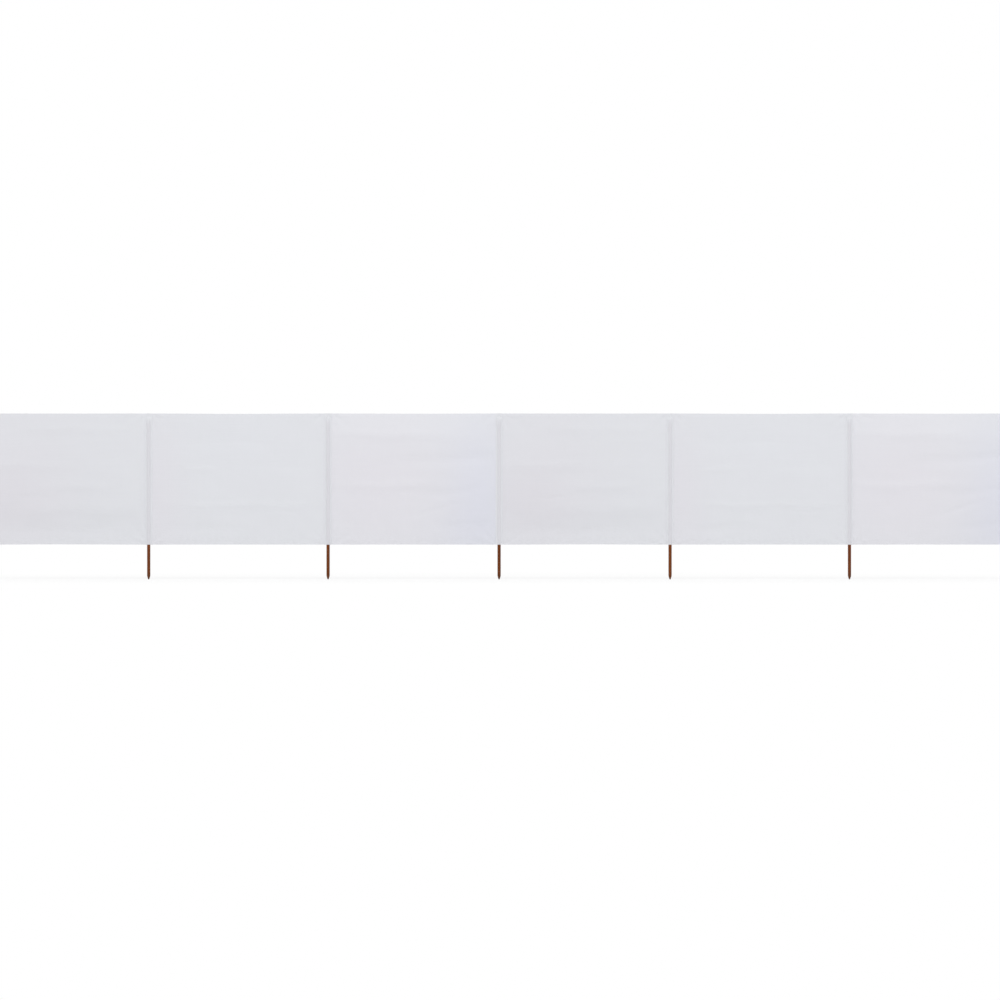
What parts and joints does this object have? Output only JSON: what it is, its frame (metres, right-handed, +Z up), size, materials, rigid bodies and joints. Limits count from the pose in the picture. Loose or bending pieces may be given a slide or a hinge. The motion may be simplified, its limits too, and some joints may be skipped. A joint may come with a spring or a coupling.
{
  "type": "beach windbreak",
  "caption": "Beach windbreak: a long low screen of white cloth in bays, held up by pointed wooden poles that stand in sewn sleeves and push into sand.",
  "frame": {"origin": "centre of the flat tip of the middle pole, level with the tips of all the poles", "axes": "+X along the row of poles, +Y from the plain front of the cloth to its hemmed back, +Z up the poles"},
  "size_m": [8.0018, 0.0284, 1.265],
  "materials": {
    "panel_cloth": "white woven polyester, matt",
    "sleeve_cloth": "white woven polyester, matt, two layers thick at the seams",
    "pole_wood": "reddish brown stained softwood, satin"
  },
  "bodies": {
    "root": {"bottom_hem_1": "panel_cloth", "bottom_hem_2": "panel_cloth", "bottom_hem_3": "panel_cloth", "bottom_hem_4": "panel_cloth", "bottom_hem_5": "panel_cloth", "bottom_hem_6": "panel_cloth", "end_sleeve_left": "sleeve_cloth", "end_sleeve_right": "sleeve_cloth", "panel_1": "panel_cloth", "panel_2": "panel_cloth", "panel_3": "panel_cloth", "panel_4": "panel_cloth", "panel_5": "panel_cloth", "panel_6": "panel_cloth", "pole_1": "pole_wood", "pole_2": "pole_wood", "pole_3": "pole_wood", "pole_4": "pole_wood", "pole_5": "pole_wood", "pole_6": "pole_wood", "pole_7": "pole_wood", "sleeve_back_2": "sleeve_cloth", "sleeve_back_3": "sleeve_cloth", "sleeve_back_4": "sleeve_cloth", "sleeve_back_5": "sleeve_cloth", "sleeve_back_6": "sleeve_cloth", "sleeve_front_2": "sleeve_cloth", "sleeve_front_3": "sleeve_cloth", "sleeve_front_4": "sleeve_cloth", "sleeve_front_5": "sleeve_cloth", "sleeve_front_6": "sleeve_cloth", "top_hem_1": "panel_cloth", "top_hem_2": "panel_cloth", "top_hem_3": "panel_cloth", "top_hem_4": "panel_cloth", "top_hem_5": "panel_cloth", "top_hem_6": "panel_cloth"}
  },
  "joints": []
}
